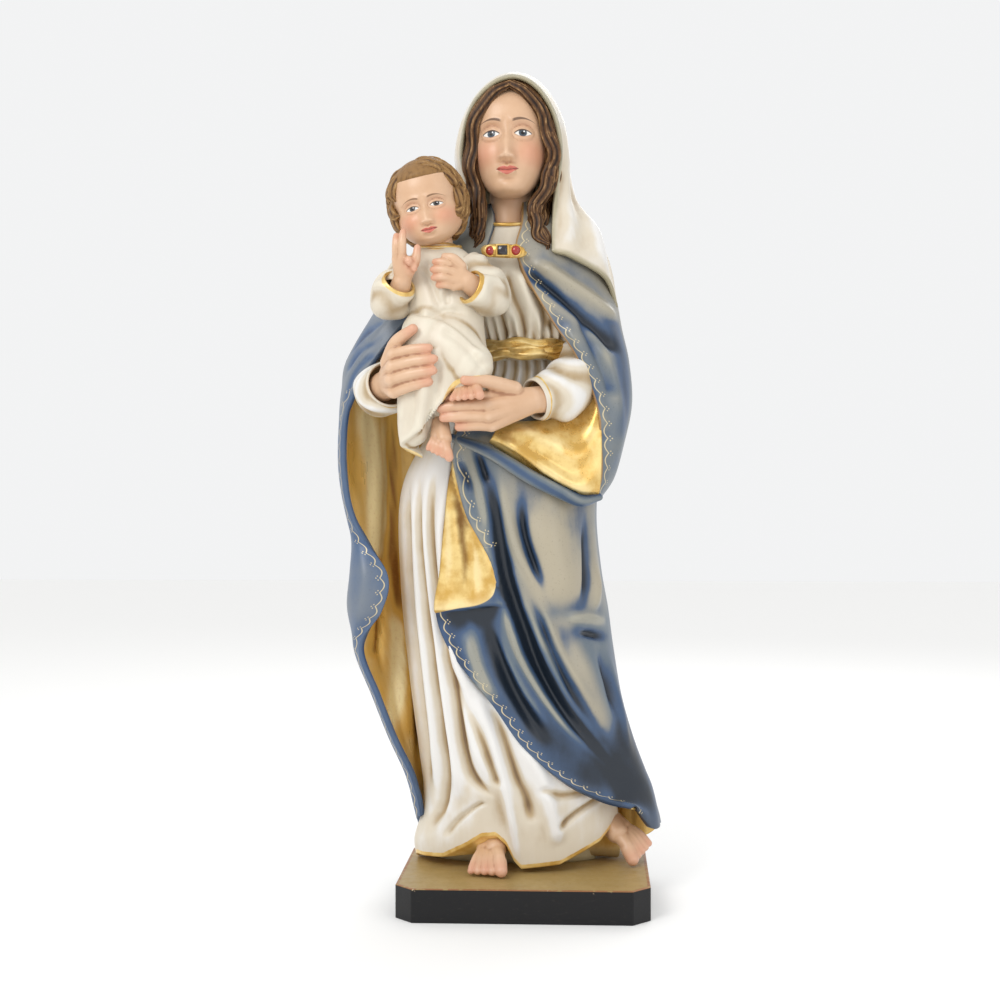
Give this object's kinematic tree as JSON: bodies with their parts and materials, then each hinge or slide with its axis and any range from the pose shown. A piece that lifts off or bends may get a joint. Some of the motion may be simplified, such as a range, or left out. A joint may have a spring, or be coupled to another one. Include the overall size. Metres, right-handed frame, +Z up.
{
  "type": "virgin and child statue",
  "caption": "Standing carved and painted figure of a veiled woman in a draped mantle who holds a blessing child, on a low chamfered plinth.",
  "frame": {"origin": "centre of the plinth's underside, on the surface that the statue stands on", "axes": "+Z up along the statue's height, -Y out of its front, +X to the viewer's right when facing it"},
  "size_m": [0.3926, 0.2602, 0.9968],
  "materials": {
    "painted_figure": "carved wood with satin paint and leaf gold, shaded in the folds",
    "painted_plinth": "wood with satin black sides and an ochre top"
  },
  "bodies": {
    "root": {"plinth": "painted_plinth", "virgin_and_child": "painted_figure"}
  },
  "joints": []
}
